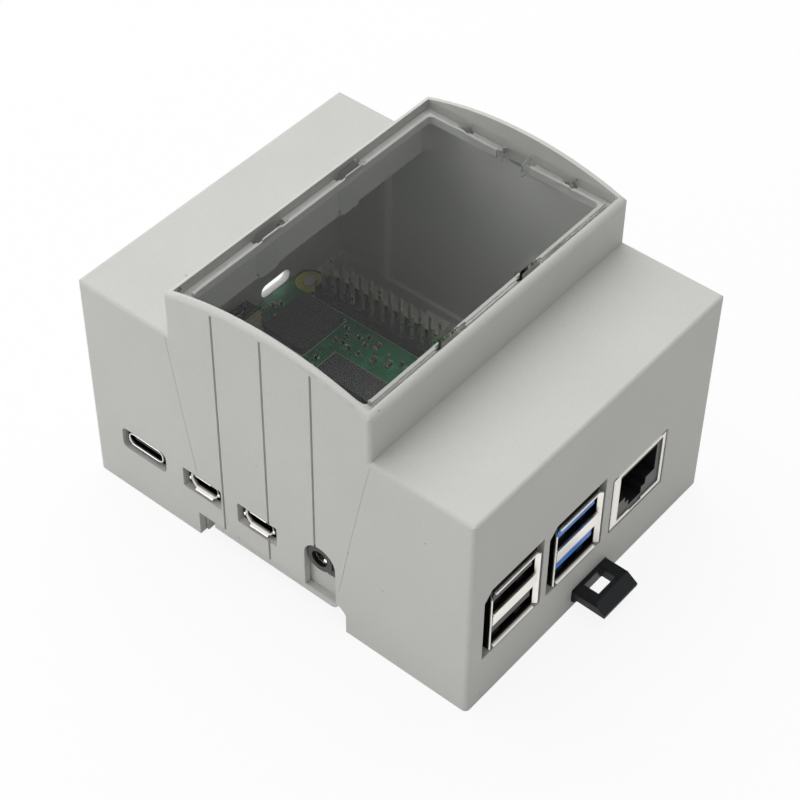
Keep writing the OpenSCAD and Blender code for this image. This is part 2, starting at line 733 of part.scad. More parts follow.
module base() {
    color([0.77, 0.77, 0.74]) placed() difference() {
        union() {
            along_y(base_y0, base_y1 - base_y0) base_section();
            foot_walls(base_x0, channel_x0);
            foot_walls(channel_x1, base_x1);
            for (x = [base_x0 + foot_rib_pitch, base_x0 + 2 * foot_rib_pitch])
                block(x, x + rib_t, base_y0, base_y1, 0.6, seat_h + eps);
            clip_guides();
            base_posts();
            base_curb();
            base_flanges();
            for (s = [-1, 1])
                along_y(case_w / 2 + s * hook_off - hook_w / 2, hook_w)
                    polygon([[channel_x0 - rib_t, hook_z], [channel_x0 - rib_t, 0],
                        [channel_x0, 0], [channel_x0 + hook_reach, hook_z - hook_t],
                        [channel_x0 + hook_reach, hook_z]]);
        }
        // the feet are hollow to just past the rail seat
        for (y = [[base_y0 + rib_t, clip_y - clip_w / 2 - clip_play - rib_t],
                [clip_y - clip_w / 2 - clip_play, clip_y + clip_w / 2 + clip_play],
                [clip_y + clip_w / 2 + clip_play + rib_t, base_y1 - rib_t]])
            block(channel_x1 + rib_t, base_x1 - rib_t, y[0], y[1],
                seat_h - 1, seat_h + foot_relief);
        for (x = [[rib_t, foot_rib_pitch], [foot_rib_pitch + rib_t, 2 * foot_rib_pitch],
                [2 * foot_rib_pitch + rib_t, channel_x0 - base_x0 - rib_t]])
            block(base_x0 + x[0], base_x0 + x[1], base_y0 + rib_t, base_y1 - rib_t,
                seat_h - 1, seat_h + foot_relief);
        // pocket over the clip's tooth
        block(channel_x1 - rail_play - tooth_reach - 0.5, channel_x1 + rib_t + eps,
            clip_y - clip_w / 2 - clip_play, clip_y + clip_w / 2 + clip_play,
            seat_h - 1, seat_h + foot_relief);
        // way through the foot walls for the clip
        block(channel_x1 - 1, case_len, clip_y - clip_w / 2 - clip_play,
            clip_y + clip_w / 2 + clip_play, clip_z - 0.15, clip_z + 2.3 + 0.15);
        block(channel_x1 - 1, channel_x1 + 6, clip_y - clip_w / 2 - clip_play,
            clip_y + clip_w / 2 + clip_play, -1, clip_z + 2.3 + 0.15);
        // room for the thicker tab inside the end wall
        block(base_x1 - 0.4, case_len, clip_y - clip_w / 2 - clip_play,
            clip_y + clip_w / 2 + clip_play, clip_z - 0.15, clip_z + tab_t + 0.3);
    }
}

// ---- rail clip ----

module clip_side() {
    tip = case_len + tab_reach;
    tooth = channel_x1 - rail_play - tooth_reach;
    polygon([[tooth, hook_z], [tooth, hook_z - 0.8], [tooth + 2.4, 0.5],
        [tooth + 3.6, 0.5], [tooth + 3.6, clip_z], [case_len + 0.6, clip_z],
        [case_len + 1.2, clip_z + 0.9], [tip, clip_z + 0.75], [tip, clip_z + 0.75 + lip_t],
        [tip - tab_lip, clip_z + tab_t], [case_len - wall_t + 0.1, clip_z + tab_t],
        [case_len - wall_t + 0.1, clip_z + 2.15], [tooth + 3.6, clip_z + 2.15],
        [tooth + 3.6, hook_z]]);
}

module rail_clip() {
    y0 = clip_y - clip_w / 2;
    head = head_x;
    slot_x0 = case_len + 0.8;
    color([0.08, 0.08, 0.09]) placed() difference() {
        along_y(y0, clip_w) clip_side();
        // narrow stem with a spring arm on each side
        for (s = [-1, 1]) {
            a = clip_y + s * (clip_w / 2 + 1);
            b = clip_y + s * 2.4;
            c = clip_y + s * (2.4 + 1.2);
            d = clip_y + s * (clip_w / 2 - arm_t);
            // gap between stem and arm
            block(head, head + 10, min(b, d), max(b, d), -1, 8);
            // gap from the arm's end to the clip's body
            block(head + 8, head + 14, min(a, b), max(a, b), -1, 8);
        }
        // tool slot
        block(slot_x0, slot_x0 + tool_slot_w, clip_y - tool_slot_l / 2,
            clip_y + tool_slot_l / 2, -1, 9);
        // bevel on the tab's near top edge
        along_x(case_len - wall_t, tab_reach + 3) polygon([[y0 - 1, clip_z + tab_t + 1],
            [y0 - 1, clip_z + tab_t - 0.4 - 0.7], [y0 + 0.6 + 0.7, clip_z + tab_t + 0.7 * 0.4 / 0.6]]);
    }
}

// ---- circuit board ----

module circuit_board() {
    color([0.05, 0.32, 0.16]) placed() translate([board_x0, board_y0, board_z])
        linear_extrude(board_t) difference() {
            round_rect(0, 0, board_l, board_w, board_r);
            for (x = [0, hole_pitch], y = [hole_edge, board_w - hole_edge])
                translate([hole_edge + x, y]) circle(hole_r);
        }
}

module usb_c_outline(grow) {
    round_rect(board_x0 + usb_c_x - 4.47 + grow, board_top + grow, 8.94 - 2 * grow,
        3.2 - 2 * grow, 1.59 - grow);
}

module usb_c_shell() {
    color([0.75, 0.75, 0.76]) placed() difference() {
        along_y(usb_c_recess, 8) usb_c_outline(0);
        along_y(usb_c_recess - 1, 8) usb_c_outline(shell_t);
    }
}

module usb_c_tongue() {
    color([0.08, 0.08, 0.08]) placed() {
        y1 = usb_c_recess + 7;
        along_y(y1 - 1, 1) usb_c_outline(shell_t + eps);
        along_y(usb_c_recess + 0.7, 5.5)
            square_at(board_x0 + usb_c_x - 3.3, board_top + 1.25, 6.6, 0.7);
    }
}

module hdmi_outline(grow) {
    w = 6.5 / 2 - grow;
    polygon([[-w, 2.9 - grow], [w, 2.9 - grow], [w, 1.3], [w - 0.9, grow],
        [0.9 - w, grow], [-w, 1.3]]);
}

module hdmi_shells() {
    color([0.75, 0.75, 0.76]) placed() for (i = [0, 1])
        translate([board_x0 + hdmi_x + i * hdmi_pitch, 0, board_top]) {
            difference() {
                along_y(hdmi_recess, 7.8) hdmi_outline(0);
                along_y(hdmi_recess - 1, 7.8) hdmi_outline(shell_t);
            }
            // mounting ears folded down to the board
            for (s = [-1, 1])
                block(s * 3.45 - 0.25, s * 3.45 + 0.25, hdmi_recess + 4, hdmi_recess + 6, 0, 1.6);
        }
}

module hdmi_tongues() {
    color([0.08, 0.08, 0.08]) placed() for (i = [0, 1])
        translate([board_x0 + hdmi_x + i * hdmi_pitch, 0, board_top]) {
            along_y(hdmi_recess + 5.8, 1) hdmi_outline(shell_t + eps);
            along_y(hdmi_recess + 0.8, 5.5) square_at(-2.2, 1.35, 4.4, 0.6);
        }
}

module audio_jack() {
    color([0.07, 0.07, 0.07]) placed() translate([board_x0 + jack_x, 0, board_top])
        difference() {
            union() {
                block(-3.3, 3.3, board_y0 + 0.1, board_y0 + 12.2, 0, 5.9);
                translate([0, jack_recess, 3]) rotate([-90, 0, 0])
                    cylinder(r = 2.9, h = 6);
            }
            translate([0, 0, 3]) rotate([-90, 0, 0]) {
                cylinder(r = plug_r, h = barrel_y + 1);
                translate([0, 0, barrel_y]) cylinder(r = barrel_r, h = barrel_l + 1);
            }
        }
}

module audio_barrel() {
    color([0.78, 0.78, 0.78]) placed() translate([board_x0 + jack_x, barrel_y,
        board_top + 3]) rotate([-90, 0, 0]) difference() {
            cylinder(r = barrel_r, h = barrel_l);
            translate([0, 0, -1]) cylinder(r = plug_r, h = barrel_l + 2);
        }
}

module usb_shell(y) {
    x1 = case_len + usb_proud;
    inner_w = usb_w / 2 - shell_t;
    translate([0, board_y0 + y, board_top]) {
        difference() {
            union() {
                block(x1 - 17.8, x1, -usb_w / 2, usb_w / 2, 0, usb_h);
                // flared lips
                block(x1 - 0.45, x1, -usb_lip_w / 2, usb_lip_w / 2, 0.55, usb_h - 0.05);
            }
            for (z = usb_floor)
                block(x1 - 16, x1 + 1, -inner_w, inner_w, z, z + usb_open_h);
        }
    }
}

module usb_tongues(y) {
    x1 = case_len + usb_proud;
    inner_w = usb_w / 2 - shell_t;
    translate([0, board_y0 + y, board_top])
        for (z = usb_floor) {
            block(x1 - 16, x1 - 10.5, -inner_w, inner_w, z, z + usb_open_h);
            block(x1 - 11, x1 - 0.9, 0.6 - inner_w, inner_w - 0.6, z + usb_open_h - 2.85,
                z + usb_open_h - 1);
        }
}

module usb2_shell() {
    color([0.77, 0.77, 0.77]) placed() usb_shell(usb_y);
}

module usb2_tongues() {
    color([0.06, 0.06, 0.06]) placed() usb_tongues(usb_y);
}

module usb3_shell() {
    color([0.77, 0.77, 0.77]) placed() usb_shell(usb_y + usb_pitch);
}

module usb3_tongues() {
    color([0.06, 0.3, 0.75]) placed() usb_tongues(usb_y + usb_pitch);
}

module lan_shell() {
    x1 = case_len - lan_recess;
    color([0.77, 0.77, 0.77]) placed() translate([0, board_y0 + lan_y, board_top])
        difference() {
            block(x1 - lan_l, x1, -lan_w / 2, lan_w / 2, 0, lan_h);
            block(x1 - lan_l + 1.2, x1 + 1, shell_t - lan_w / 2, lan_w / 2 - shell_t,
                shell_t, lan_h - shell_t);
        }
}

// plug cavity seen along the plug: wide part, then two steps for the latch
module lan_cavity() {
    polygon([[-5.9, 4.9], [5.9, 4.9], [5.9, 11.6], [-5.9, 11.6]]);
    square_at(-3.2, 3.3, 6.4, 1.7);
    square_at(-2, 1.7, 4, 1.7);
}

module lan_insert() {
    x1 = case_len - lan_recess;
    color([0.05, 0.05, 0.05]) placed() translate([0, board_y0 + lan_y, board_top])
        difference() {
            block(x1 - lan_l + 1.2, x1 - 0.3, shell_t - lan_w / 2, lan_w / 2 - shell_t,
                shell_t, lan_h - shell_t);
            along_x(x1 - 14, 20) lan_cavity();
        }
}

// ---- headers and chips ----

header_x = 7.1;
header_y = 49.96;
poe_x = 58.8;
poe_y = 43.9;
pin_w = 0.64;
pin_step = 2.54;

module header_block(x, y, nx, ny, h) {
    translate([board_x0 + x, board_y0 + y, board_top])
        difference() {
            cube([nx * pin_step, ny * pin_step, h]);
            for (i = [0 : nx - 1], j = [0 : ny - 1])
                translate([(i + 0.5) * pin_step - pin_w / 2,
                    (j + 0.5) * pin_step - pin_w / 2, -1]) cube([pin_w, pin_w, h + 2]);
        }
}

module header_posts(x, y, nx, ny, z1) {
    translate([board_x0 + x, board_y0 + y, board_top])
        for (i = [0 : nx - 1], j = [0 : ny - 1])
            translate([(i + 0.5) * pin_step - pin_w / 2,
                (j + 0.5) * pin_step - pin_w / 2, 0]) cube([pin_w, pin_w, z1]);
}

module pin_header() {
    color([0.05, 0.05, 0.05]) placed() header_block(header_x, header_y, 20, 2, 2.5);
}

module header_pins() {
    color([0.85, 0.75, 0.5]) placed() header_posts(header_x, header_y, 20, 2, 8.5);
}

module poe_header() {
    color([0.05, 0.05, 0.05]) placed() header_block(poe_x, poe_y, 2, 2, 2.5);
}

module poe_pins() {
    color([0.85, 0.75, 0.5]) placed() header_posts(poe_x, poe_y, 2, 2, 8.5);
}

module chip(x, y, w, l, h) {
    translate([board_x0 + x, board_y0 + y, board_top]) cube([w, l, h]);
}

module processor() {
    color([0.7, 0.7, 0.72]) placed() {
        chip(processor_x, processor_y, processor_w, processor_w, chip_h);
        translate([(processor_w - spreader_w) / 2, (processor_w - spreader_w) / 2, 0])
            chip(processor_x, processor_y, spreader_w, spreader_w, chip_h + 0.6);
    }
}

module memory_chip() {
    color([0.05, 0.05, 0.05]) placed() chip(memory_x, memory_y, memory_w, memory_l, chip_h);
}

module radio_shield() {
    color([0.72, 0.72, 0.73]) placed() translate([board_x0 + radio_x, board_y0 + radio_y,
        board_top]) linear_extrude(1.5) round_rect(0, 0, 10.5, 12.6, 0.5);
}

module usb_controller() {
    color([0.05, 0.05, 0.05]) placed() 
        chip(usb_chip_x, usb_chip_y, controller_w, controller_w, chip_h);
}

module lan_chip() {
    color([0.05, 0.05, 0.05]) placed() 
        chip(lan_chip_x, lan_chip_y, controller_w, controller_w, chip_h);
}

module power_chip() {
    color([0.05, 0.05, 0.05]) placed() 
        chip(power_chip_x, power_chip_y, power_chip_w, power_chip_w, chip_h);
}

module power_coils() {
    color([0.25, 0.25, 0.26]) placed() {
        chip(14.2, 14, 4, 4, 2);
        chip(8, 20, 4, 4, 2);
        chip(15, 19.6, 3, 3, 1.6);
    }
}

// upright socket for a flat cable, with its dark latch bar on top
module flat_socket(x, y) {
    translate([board_x0 + x, board_y0 + y, board_top]) difference() {
        cube([3.9, flat_l, 4.7]);
        translate([1, 1.6, 1.2]) cube([1.2, flat_l - 3.2, 5]);
    }
}

module flat_latch(x, y) {
    translate([board_x0 + x, board_y0 + y, board_top + 4.7]) difference() {
        cube([3.1, flat_l, 1]);
        translate([1, 1.9, -1]) cube([1, flat_l - 3.8, 3]);
    }
}

module display_connector() {
    color([0.86, 0.8, 0.62]) placed() flat_socket(display_x, display_y);
}

module display_latch() {
    color([0.07, 0.06, 0.06]) placed() flat_latch(display_x, display_y);
}

module camera_connector() {
    color([0.86, 0.8, 0.62]) placed() flat_socket(camera_x, camera_y);
}

module camera_latch() {
    color([0.07, 0.06, 0.06]) placed() flat_latch(camera_x, camera_y);
}

module card_socket() {
    color([0.72, 0.72, 0.73]) placed()
        translate([board_x0 + 1.2, board_y0 + 21, board_z - 1.4]) difference() {
            cube([14.6, 14, 1.4]);
            translate([-1, 1.3, 0.3]) cube([13, 11.4, 0.8]);
        }
}

cover();
base();
window_lid();
rail_clip();
circuit_board();
usb_c_shell();
usb_c_tongue();
hdmi_shells();
hdmi_tongues();
audio_jack();
audio_barrel();
usb2_shell();
usb2_tongues();
usb3_shell();
usb3_tongues();
lan_shell();
lan_insert();
pin_header();
header_pins();
poe_header();
poe_pins();
processor();
memory_chip();
radio_shield();
usb_controller();
lan_chip();
power_chip();
power_coils();
display_connector();
display_latch();
camera_connector();
camera_latch();
card_socket();
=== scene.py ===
import bpy
import numpy as np
from mathutils import Matrix, Vector


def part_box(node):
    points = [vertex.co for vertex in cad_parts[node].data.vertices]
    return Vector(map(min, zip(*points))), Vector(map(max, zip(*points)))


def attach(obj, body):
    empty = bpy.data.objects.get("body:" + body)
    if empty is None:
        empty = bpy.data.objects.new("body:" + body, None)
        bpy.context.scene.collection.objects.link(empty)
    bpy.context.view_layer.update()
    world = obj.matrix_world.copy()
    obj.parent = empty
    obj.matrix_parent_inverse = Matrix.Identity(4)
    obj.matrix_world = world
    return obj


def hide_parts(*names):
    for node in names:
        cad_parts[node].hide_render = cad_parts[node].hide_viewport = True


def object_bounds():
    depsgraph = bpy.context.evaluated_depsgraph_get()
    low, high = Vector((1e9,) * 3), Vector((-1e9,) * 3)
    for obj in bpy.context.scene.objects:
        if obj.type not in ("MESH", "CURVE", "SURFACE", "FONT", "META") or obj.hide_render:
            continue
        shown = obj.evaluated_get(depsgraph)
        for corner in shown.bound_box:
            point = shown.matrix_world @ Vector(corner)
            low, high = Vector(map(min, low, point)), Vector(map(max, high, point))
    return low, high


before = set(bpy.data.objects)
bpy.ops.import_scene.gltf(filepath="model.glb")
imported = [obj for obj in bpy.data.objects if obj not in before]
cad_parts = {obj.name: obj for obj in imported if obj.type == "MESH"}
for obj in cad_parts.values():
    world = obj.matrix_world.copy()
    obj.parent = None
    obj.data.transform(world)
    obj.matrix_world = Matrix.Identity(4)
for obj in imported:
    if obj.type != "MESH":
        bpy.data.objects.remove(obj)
cad_low, cad_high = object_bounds()


# ---- Camera ----
# A long lens stands over the near right corner of the case and looks down on the window lid,
# the face with the small sockets and the end with the clip.
camera_data = bpy.data.cameras.new("camera")
camera_data.lens = 96.6
camera_data.sensor_width = 36.0
camera_data.shift_x = 0.0046
camera_data.shift_y = -0.037
camera_data.clip_start = 0.02
camera_data.clip_end = 20.0
camera = bpy.data.objects.new("camera", camera_data)
bpy.context.scene.collection.objects.link(camera)
camera_right = Vector((0.768, 0.6404, 0.0079)).normalized()
camera_back = Vector((0.4458, -0.5434, 0.7113)).normalized()
camera_up = camera_back.cross(camera_right).normalized()
camera_right = camera_up.cross(camera_back)
camera_place = Matrix((camera_right, camera_up, camera_back)).transposed().to_4x4()
camera_place.translation = Vector((0.17505, -0.21425, 0.30392))
camera.matrix_world = camera_place
bpy.context.scene.camera = camera
bpy.context.scene.view_settings.view_transform = "Standard"


# ---- Floor and backdrop ----
# A plain white sheet under the case. It turns the light back softly and keeps the case's shadow.
floor_z = cad_low.z - 0.00005
floor_half = 3
floor_mesh = bpy.data.meshes.new("floor")
floor_mesh.from_pydata([(floor_half * i, floor_half * j, floor_z)
                        for i, j in ((-1, -1), (1, -1), (1, 1), (-1, 1))],
                       [], [(0, 1, 2, 3)])
floor = bpy.data.objects.new("floor", floor_mesh)
bpy.context.scene.collection.objects.link(floor)
floor_paint = bpy.data.materials.new("floor_paint")
floor_paint.use_nodes = True
floor_nodes = floor_paint.node_tree.nodes
floor_links = floor_paint.node_tree.links
floor_shader = floor_nodes["Principled BSDF"]
floor_shader.inputs["Base Color"].default_value = (0.78, 0.78, 0.775, 1)
floor_shader.inputs["Roughness"].default_value = 0.9
floor_glow = floor_nodes.new("ShaderNodeEmission")
floor_glow.inputs["Color"].default_value = (1, 1, 1, 1)
floor_glow.inputs["Strength"].default_value = 1.02


def seen_rays(tree):
    """One where a ray comes from the eye, a reflection or clear plastic, else zero."""
    rays = tree.nodes.new("ShaderNodeLightPath")
    total = rays.outputs["Is Camera Ray"]
    for kind in ("Is Glossy Ray", "Is Transmission Ray"):
        either = tree.nodes.new("ShaderNodeMath")
        either.operation = "MAXIMUM"
        tree.links.new(total, either.inputs[0])
        tree.links.new(rays.outputs[kind], either.inputs[1])
        total = either.outputs[0]
    return total


floor_share = floor_nodes.new("ShaderNodeMath")
floor_share.operation = "MULTIPLY"
floor_share.inputs[1].default_value = 0.87
floor_links.new(seen_rays(floor_paint.node_tree), floor_share.inputs[0])
floor_mix = floor_nodes.new("ShaderNodeMixShader")
floor_links.new(floor_share.outputs[0], floor_mix.inputs[0])
floor_links.new(floor_shader.outputs[0], floor_mix.inputs[1])
floor_links.new(floor_glow.outputs[0], floor_mix.inputs[2])
floor_links.new(floor_mix.outputs[0], floor_nodes["Material Output"].inputs["Surface"])
floor_mesh.materials.append(floor_paint)

world = bpy.data.worlds.new("studio")
bpy.context.scene.world = world
world.use_nodes = True
world_nodes = world.node_tree.nodes
world_links = world.node_tree.links
world_fill = world_nodes["Background"]
world_fill.inputs["Color"].default_value = (1.0, 1.0, 1.0, 1)
world_fill.inputs["Strength"].default_value = 0.34
world_white = world_nodes.new("ShaderNodeBackground")
world_white.inputs["Strength"].default_value = 1.0
world_mix = world_nodes.new("ShaderNodeMixShader")
world_links.new(seen_rays(world.node_tree), world_mix.inputs[0])
world_links.new(world_fill.outputs[0], world_mix.inputs[1])
world_links.new(world_white.outputs[0], world_mix.inputs[2])
world_links.new(world_mix.outputs[0], world_nodes["World Output"].inputs["Surface"])


# ---- Lamps ----
# Three soft boxes: a large one overhead, one before the near face and a weak one by the clip end.
def soft_box(name, place, aim, size, watts):
    """A square area lamp at place that faces aim."""
    lamp_data = bpy.data.lights.new(name, "AREA")
    lamp_data.shape = "SQUARE"
    lamp_data.size = size
    lamp_data.energy = watts
    lamp = bpy.data.objects.new(name, lamp_data)
    bpy.context.scene.collection.objects.link(lamp)
    lamp.location = place
    lamp.rotation_euler = (Vector(place) - Vector(aim)).to_track_quat("Z", "Y").to_euler()


soft_box("overhead_lamp", (-0.4, 0.22, 1.0), (0, 0, 0.03), 1.5, 12.8)
soft_box("near_lamp", (-0.45, -1.0, 0.35), (0, 0, 0.02), 0.6, 3.0)
soft_box("clip_side_lamp", (1.0, -0.1, 0.25), (0, 0, 0.02), 0.5, 0.2)
# The clear lid would mirror the overhead lamp as a speckled patch.
bpy.data.objects["overhead_lamp"].visible_glossy = False


# ---- Cover ----
# The grey upper shell: one moulding in a warm light grey plastic with a fine eroded grain.
# It drops over the base and snaps on; a few dark specks are ground into the resin.
def plain_material(name, colour, roughness, metallic=0.0):
    """A new material with its main shader's colour, roughness and metallic set."""
    paint = bpy.data.materials.new(name)
    paint.use_nodes = True
    shader = paint.node_tree.nodes["Principled BSDF"]
    shader.inputs["Base Color"].default_value = (*colour, 1)
    shader.inputs["Roughness"].default_value = roughness
    shader.inputs["Metallic"].default_value = metallic
    return paint, shader


def object_place(paint):
    """The Object coordinates of a material, in metres."""
    return paint.node_tree.nodes.new("ShaderNodeTexCoord").outputs["Object"]


def noise_of(paint, place, per_metre, detail=2.0, roughness=0.5):
    """Noise with cells of 1 / per_metre metres, from 0 to 1."""
    noise = paint.node_tree.nodes.new("ShaderNodeTexNoise")
    noise.inputs["Scale"].default_value = per_metre
    noise.inputs["Detail"].default_value = detail
    noise.inputs["Roughness"].default_value = roughness
    paint.node_tree.links.new(place, noise.inputs["Vector"])
    return noise.outputs["Fac"]


def ramp_of(paint, value, stops):
    """A colour ramp over value; stops are (position, colour) pairs."""
    ramp = paint.node_tree.nodes.new("ShaderNodeValToRGB")
    while len(ramp.color_ramp.elements) < len(stops):
        ramp.color_ramp.elements.new(0.5)
    for element, (position, colour) in zip(ramp.color_ramp.elements, stops):
        element.position = position
        element.color = (*colour, 1) if len(colour) == 3 else colour
    paint.node_tree.links.new(value, ramp.inputs["Fac"])
    return ramp.outputs["Color"]


def mixed(paint, share, first, second, way="MIX"):
    """Colour mix of first and second by share; each may be a socket or a plain value."""
    mix = paint.node_tree.nodes.new("ShaderNodeMix")
    mix.data_type = "RGBA"
    mix.blend_type = way
    sockets = [s for s in mix.inputs if s.enabled]
    for socket, value in zip(sockets, (share, first, second)):
        if hasattr(value, "is_output"):
            paint.node_tree.links.new(value, socket)
        elif isinstance(value, (int, float)):
            socket.default_value = value
        else:
            socket.default_value = (*value, 1)
    return [s for s in mix.outputs if s.enabled][0]


def bumped(paint, shader, height, depth, strength=1.0, edge=None):
    """Bump of the given depth in metres; edge is a radius that softens sharp corners."""
    bump = paint.node_tree.nodes.new("ShaderNodeBump")
    bump.inputs["Strength"].default_value = strength
    bump.inputs["Distance"].default_value = depth
    paint.node_tree.links.new(height, bump.inputs["Height"])
    if edge:
        bevel = paint.node_tree.nodes.new("ShaderNodeBevel")
        bevel.samples = 4
        bevel.inputs["Radius"].default_value = edge
        paint.node_tree.links.new(bevel.outputs[0], bump.inputs["Normal"])
    paint.node_tree.links.new(bump.outputs[0], shader.inputs["Normal"])


def dress(node, paint):
    """Gives a CAD node its finish."""
    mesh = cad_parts[node].data
    mesh.materials.clear()
    mesh.materials.append(paint)


def casing_plastic(name, colour):
    """Grained moulding plastic: clouded colour, fine erosion grain, rare dark specks."""
    paint, shader = plain_material(name, colour, 0.62)
    place = object_place(paint)
    clouds = noise_of(paint, place, 45, 3)
    grain = noise_of(paint, place, 2600, 2, 0.6)
    body = ramp_of(paint, clouds, [(0.3, [c * 0.975 for c in colour]),
                                   (0.7, [min(1, c * 1.02) for c in colour])])
    salt = ramp_of(paint, grain, [(0.3, (0.93, 0.93, 0.93)), (0.7, (1.0, 1.0, 1.0))])
    body = mixed(paint, 0.8, body, salt, "MULTIPLY")
    specks = paint.node_tree.nodes.new("ShaderNodeTexVoronoi")
    specks.inputs["Scale"].default_value = 130
    paint.node_tree.links.new(place, specks.inputs["Vector"])
    spots = ramp_of(paint, specks.outputs["Distance"], [(0.018, (0.45, 0.44, 0.42)),
                                                        (0.03, (1, 1, 1))])
    body = mixed(paint, 0.85, body, spots, "MULTIPLY")
    paint.node_tree.links.new(body, shader.inputs["Base Color"])
    shine = ramp_of(paint, grain, [(0.3, (0.55, 0.55, 0.55)), (0.7, (0.68, 0.68, 0.68))])
    paint.node_tree.links.new(shine, shader.inputs["Roughness"])
    bumped(paint, shader, grain, 0.00003, 0.5, edge=0.00022)
    return paint


cover_plastic = casing_plastic("cover_plastic", (0.60, 0.598, 0.572))
dress("cover", cover_plastic)


# ---- Witness lines on the near face ----
# Hair-thin raised lines where slides of the mould meet. They are part of the cover.
def outward(points, faces):
    """The faces of a closed part, all reversed where they enclose a negative volume."""
    fans = np.array([(face[0], face[i], face[i + 1])
                     for face in faces for i in range(1, len(face) - 1)])
    a, b, c = (points[fans[:, k]] - points.mean(0) for k in range(3))
    inside_out = np.einsum("ij,ij->i", a, np.cross(b, c)).sum() < 0
    return [face[::-1] for face in faces] if inside_out else faces


def merged_mesh(name, parts, paint, body, smooth=False):
    """One object from closed parts, each an array of points and a list of faces."""
    points = []
    faces = []
    start = 0
    for part_points, part_faces in parts:
        part_points = np.asarray(part_points, float)
        points.append(part_points)
        faces += [[i + start for i in face] for face in outward(part_points, part_faces)]
        start += len(part_points)
    mesh = bpy.data.meshes.new(name)
    mesh.from_pydata(np.vstack(points).tolist(), [], faces)
    mesh.polygons.foreach_set("use_smooth", [smooth] * len(mesh.polygons))
    mesh.materials.append(paint)
    mesh.update()
    piece = bpy.data.objects.new(name, mesh)
    bpy.context.scene.collection.objects.link(piece)
    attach(piece, body)
    return piece


def ring_path(points, radius, sides):
    """A round bead along a path: a circle carried along it, in the plane across its direction."""
    path = np.asarray(points, float)
    ahead = np.gradient(path, axis=0)
    ahead /= np.linalg.norm(ahead, axis=1)[:, None]
    helper = np.where(np.abs(ahead[:, 2:3]) > 0.9, [[1.0, 0, 0]], [[0, 0, 1.0]])
    across = np.cross(ahead, helper)
    across /= np.linalg.norm(across, axis=1)[:, None]
    upward = np.cross(across, ahead)
    turn = np.linspace(0, 2 * np.pi, sides, endpoint=False)
    shell = (path[:, None] + radius * (np.cos(turn)[None, :, None] * across[:, None]
                                       + np.sin(turn)[None, :, None] * upward[:, None]))
    count = len(path)
    rows = np.arange(count - 1)[:, None]
    cols = np.arange(sides)[None]
    nxt = rows + 1
    faces = np.stack([rows * sides + cols, nxt * sides + cols,
                      nxt * sides + (cols + 1) % sides,
                      rows * sides + (cols + 1) % sides], -1).reshape(-1, 4).tolist()
    faces.append(list(range(sides)))
    faces.append(list(range(count * sides - 1, (count - 1) * sides - 1, -1)))
    return shell.reshape(-1, 3), faces


near_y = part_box("cover")[0].y
left_line = np.array([[-0.0234, near_y, 0.0443], [-0.0206, near_y, 0.0273],
                      [-0.0182, near_y, 0.0128]])
right_line = np.array([[0.0230, near_y, 0.0436], [0.0202, near_y, 0.0299],
                       [0.0184, near_y, 0.0205], [0.0165, near_y, 0.0098],
                       [0.0158, near_y, 0.0061]])
merged_mesh(
    "cover_witness_lines",
    [ring_path(left_line, 0.00005, 4), ring_path(right_line, 0.00005, 4)],
    cover_plastic, "housing")


# ---- Base ----
# The lower shell in the same resin, with the feet, the hooks for the rail and the posts.
base_plastic = casing_plastic("base_plastic", (0.585, 0.583, 0.558))
dress("base", base_plastic)


# ---- Window lid ----
# One clear moulding. Its rim stands in a trench of the cover and its two pins turn in the rim
# of the nose. Shadow and diffuse rays pass straight through it, so what lies below stays lit.
def clear_resin(name, tint, haze):
    """Clear plastic that barely bends light, under a gloss with faint smears."""
    paint, shader = plain_material(name, tint, haze)
    shader.inputs["Transmission Weight"].default_value = 1.0
    shader.inputs["IOR"].default_value = 1.09
    shader.inputs["Coat Weight"].default_value = 0.14
    shader.inputs["Coat IOR"].default_value = 1.5
    smears = noise_of(paint, object_place(paint), 45, 3)
    gloss = ramp_of(paint, smears, [(0.4, (haze * 0.6,) * 3), (0.7, (haze * 1.6,) * 3)])
    paint.node_tree.links.new(gloss, shader.inputs["Coat Roughness"])
    nodes = paint.node_tree.nodes
    rays = nodes.new("ShaderNodeLightPath")
    clear = nodes.new("ShaderNodeBsdfTransparent")
    clear.inputs["Color"].default_value = (0.9, 0.905, 0.905, 1)
    unbent = nodes.new("ShaderNodeMath")
    unbent.operation = "MAXIMUM"
    paint.node_tree.links.new(rays.outputs["Is Shadow Ray"], unbent.inputs[0])
    paint.node_tree.links.new(rays.outputs["Is Diffuse Ray"], unbent.inputs[1])
    mix = nodes.new("ShaderNodeMixShader")
    paint.node_tree.links.new(unbent.outputs[0], mix.inputs[0])
    paint.node_tree.links.new(shader.outputs[0], mix.inputs[1])
    paint.node_tree.links.new(clear.outputs[0], mix.inputs[2])
    paint.node_tree.links.new(mix.outputs[0], nodes["Material Output"].inputs["Surface"])
    return paint


dress("window_lid", clear_resin("lid_resin", (0.985, 0.99, 0.99), 0.01))


# ---- Rail clip ----
# The sliding foot that locks the case on the rail: one black satin moulding.
def black_plastic(name, colour, roughness, edge, relief=0.00003):
    """Dark moulding plastic: a satin grain of the given relief and softened edges."""
    paint, shader = plain_material(name, colour, roughness)
    grain = noise_of(paint, object_place(paint), 3200, 2, 0.6)
    tone = ramp_of(paint, grain, [(0.3, [c * 0.8 for c in colour]),
                                  (0.75, [c * 1.25 for c in colour])])
    paint.node_tree.links.new(tone, shader.inputs["Base Color"])
    bumped(paint, shader, grain, relief, 0.35, edge=edge)
    return paint


clip_plastic = black_plastic("clip_plastic", (0.008, 0.009, 0.011), 0.42, 0.00025)
clip_plastic.node_tree.nodes["Principled BSDF"].inputs["Specular IOR Level"].default_value = 0.28
dress("rail_clip", clip_plastic)


